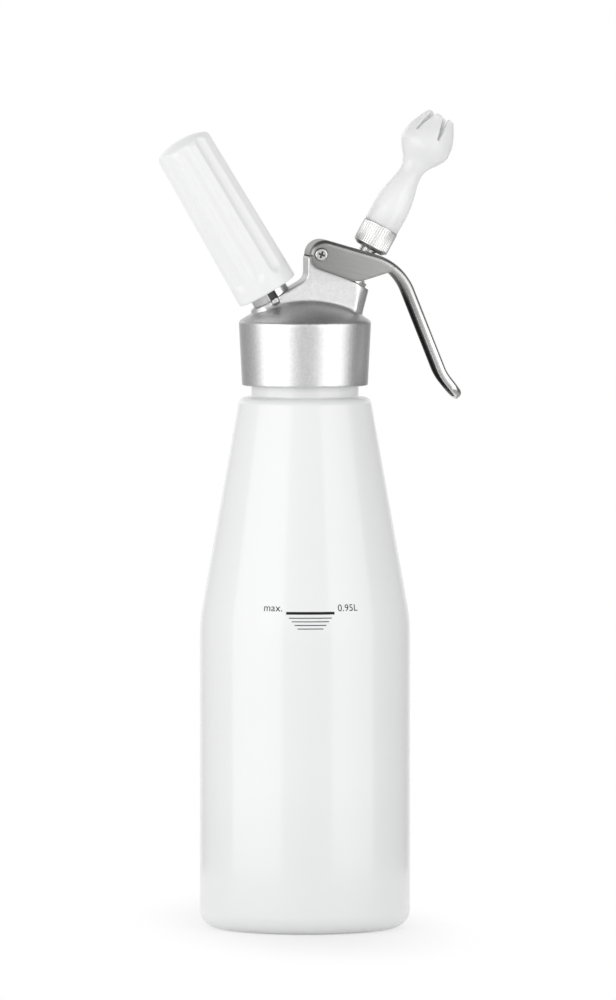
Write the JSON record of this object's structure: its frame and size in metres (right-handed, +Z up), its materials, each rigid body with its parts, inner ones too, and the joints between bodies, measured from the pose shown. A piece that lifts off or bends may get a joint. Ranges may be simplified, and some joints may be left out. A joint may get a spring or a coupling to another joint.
{
  "type": "whipped cream dispenser",
  "caption": "Gas-charged whipped cream dispenser: domed white bottle, cast screw-on head, fluted charger holder, squeeze lever and a nozzle ending in a petalled tulip tip.",
  "frame": {"origin": "centre of the bottle's base, on the surface it stands on", "axes": "+Z up along the bottle; +X towards the lever and the nozzle, -X towards the charger holder; -Y is the side with the pivot screw and the fill mark"},
  "size_m": [0.1384, 0.096, 0.3737],
  "materials": {
    "lacquer": "gloss white lacquer",
    "silicone": "matt",
    "cast_aluminium": "satin",
    "chromed_brass": "polished",
    "steel": "polished",
    "zinc_steel": "satin",
    "white_plastic": "semi-gloss",
    "brass": "machined",
    "brass_nickel": "nickel plated, polished",
    "lever_steel": "brushed and polished",
    "nickel_knurl": "satin nickel plated",
    "tip_plastic": "semi-gloss"
  },
  "bodies": {
    "bottle": {"bottle": "lacquer"},
    "head_gasket": {"head_gasket": "silicone"},
    "head": {"head_casting": "cast_aluminium", "charger_post": "chromed_brass", "piercing_pin": "steel", "pin_gasket": "silicone", "check_valve_body": "brass", "check_valve_sleeve": "silicone", "gland_nut": "brass_nickel", "stem_o_ring": "silicone", "valve_spring": "steel"},
    "charger": {"gas_charger": "zinc_steel", "charger_seal_cap": "steel"},
    "charger_holder": {"charger_holder": "white_plastic"},
    "lever": {"lever": "lever_steel", "pivot_sleeve": "chromed_brass", "pivot_screw": "chromed_brass"},
    "valve": {"valve_stem": "brass_nickel", "spring_cap": "brass_nickel", "valve_washer": "silicone", "valve_foot_nut": "brass_nickel"},
    "nozzle_seal": {"nozzle_seal": "silicone"},
    "nozzle": {"nozzle_coupling": "nickel_knurl", "nozzle_tip": "tip_plastic"}
  },
  "joints": [
    {"name": "head_lift", "type": "slide", "parent": "bottle", "child": "head_gasket", "axis": [0, 0, 1], "range_m": [0, 0.01201]},
    {"name": "head_turn", "type": "hinge", "parent": "head_gasket", "child": "head", "pos_m": [0, 0, 0.2645], "axis": [0, 0, 1], "range_deg": [0, 1440]},
    {"name": "charger_lift", "type": "slide", "parent": "head", "child": "charger", "axis": [-0.5075, 0, 0.8616], "range_m": [0, 0.009]},
    {"name": "holder_turn", "type": "hinge", "parent": "charger", "child": "charger_holder", "pos_m": [-0.0173, 0, 0.291], "axis": [-0.5075, 0, 0.8616], "range_deg": [0, 2161]},
    {"name": "lever_press", "type": "hinge", "parent": "head", "child": "lever", "pos_m": [0.006, 0, 0.3077], "axis": [0, 1, 0], "range_deg": [0, 12]},
    {"name": "valve_stroke", "type": "slide", "parent": "head", "child": "valve", "axis": [-0.4848, 0, -0.8746], "range_m": [0, 0.004], "stiffness_N_per_m": 2000, "springref_m": -0.002, "deforming": ["valve_spring"]},
    {"name": "nozzle_lift", "type": "slide", "parent": "valve", "child": "nozzle_seal", "axis": [0.4848, 0, 0.8746], "range_m": [0, 0.006]},
    {"name": "nozzle_turn", "type": "hinge", "parent": "nozzle_seal", "child": "nozzle", "pos_m": [0.0301, 0, 0.3111], "axis": [0.4848, 0, 0.8746], "range_deg": [0, 2161]}
  ],
  "couplings": [
    {"joint": "head_lift", "follows": "head_turn", "m_per_rad": 0.00047746},
    {"joint": "holder_turn", "follows": "charger_lift", "rad_per_m": 4188.8},
    {"joint": "lever_press", "follows": "valve_stroke", "rad_per_m": 52.219},
    {"joint": "nozzle_turn", "follows": "nozzle_lift", "rad_per_m": 6283.2}
  ]
}
